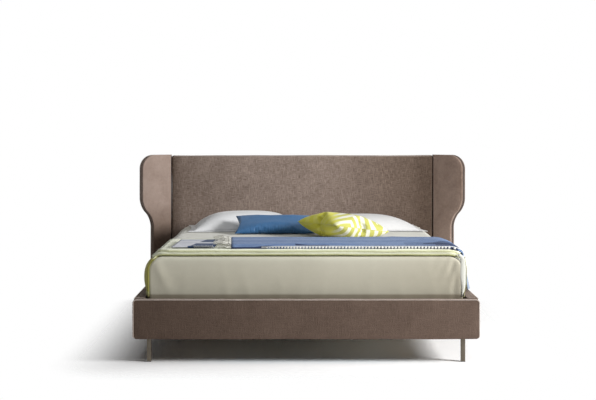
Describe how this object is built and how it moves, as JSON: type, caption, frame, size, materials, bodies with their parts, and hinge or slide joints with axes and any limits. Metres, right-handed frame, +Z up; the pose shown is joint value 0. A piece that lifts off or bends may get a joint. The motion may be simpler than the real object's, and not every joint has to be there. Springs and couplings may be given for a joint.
{
  "type": "double bed",
  "caption": "Double bed with a low upholstered ring frame on slender metal legs, a padded headboard with S-curved forward wings, a slatted base, mattress and bedding.",
  "frame": {"origin": "centre of the footprint, on the floor under the bed", "axes": "+X to the right of someone who stands at the foot and looks at the headboard, +Y from the foot to the headboard, +Z up"},
  "size_m": [2.178, 2.2, 1.015],
  "materials": {
    "upholstery": "soft matt velvet-like weave, taupe",
    "upholstery_panel": "slubby taupe weave",
    "board": "plain particle board and plywood",
    "beech": "clear lacquered beech plywood",
    "bronze": "satin bronze",
    "steel": "satin dark grey powder coat",
    "fastener": "zinc plated",
    "plastic": "matt black",
    "ticking": "knitted ticking",
    "sheet_cotton": "smooth beige sateen",
    "coverlet_cotton": "cream cotton with lime edges",
    "throw_wool": "slate blue soft weave",
    "striped_wool": "navy weave with pale stitches",
    "pillow_cotton": "white percale",
    "blue_satin": "deep blue satin",
    "lime_print": "lime and white print"
  },
  "bodies": {
    "bed_frame": {"foot_rail_core": "board", "foot_rail_cover": "upholstery", "side_rail_left_core": "board", "side_rail_left_cover": "upholstery", "side_rail_right_core": "board", "side_rail_right_cover": "upholstery", "corner_bracket_left": "steel", "corner_bracket_right": "steel", "corner_bolts": "fastener", "headboard_bracket_left": "steel", "headboard_bracket_right": "steel", "headboard_bolts": "fastener", "headboard_core": "board", "headboard_cover": "upholstery_panel", "wing_left_core": "board", "wing_left_front_facing": "upholstery", "wing_left_border": "upholstery", "wing_left_back_facing": "upholstery", "wing_right_core": "board", "wing_right_front_facing": "upholstery", "wing_right_border": "upholstery", "wing_right_back_facing": "upholstery", "wing_studs": "fastener", "headboard_glides": "plastic", "leg_left": "bronze", "leg_right": "bronze", "leg_screws": "fastener", "leg_glides": "plastic", "base_brackets": "steel", "base_screws": "fastener", "base_left_tube": "steel", "base_right_tube": "steel", "base_center_tube": "steel", "base_head_tube": "steel", "base_foot_tube": "steel", "tube_plugs": "plastic", "slats_left": "beech", "slats_right": "beech", "slat_holders_left": "plastic", "slat_holders_right": "plastic", "slat_holders_center": "plastic", "center_leg": "steel", "center_leg_foot": "plastic"},
    "mattress_set": {"mattress": "ticking", "fitted_sheet": "sheet_cotton", "coverlet": "coverlet_cotton", "coverlet_fold": "coverlet_cotton", "blue_throw": "throw_wool", "striped_throw": "striped_wool"},
    "pillow_left": {"pillow_left": "pillow_cotton"},
    "pillow_right": {"pillow_right": "pillow_cotton"},
    "blue_cushion": {"blue_cushion": "blue_satin"},
    "lime_cushion": {"lime_cushion": "lime_print"}
  },
  "joints": [
    {"name": "mattress_lift", "type": "slide", "parent": "bed_frame", "child": "mattress_set", "axis": [0, 0, 1], "range_m": [0, 0.4]},
    {"name": "pillow_left_lift", "type": "slide", "parent": "mattress_set", "child": "pillow_left", "axis": [0, 0, 1], "range_m": [0, 0.3]},
    {"name": "pillow_right_lift", "type": "slide", "parent": "mattress_set", "child": "pillow_right", "axis": [0, 0, 1], "range_m": [0, 0.3]},
    {"name": "blue_cushion_lift", "type": "slide", "parent": "mattress_set", "child": "blue_cushion", "axis": [0, 0, 1], "range_m": [0, 0.3]},
    {"name": "lime_cushion_lift", "type": "slide", "parent": "mattress_set", "child": "lime_cushion", "axis": [0, 0, 1], "range_m": [0, 0.3]}
  ]
}
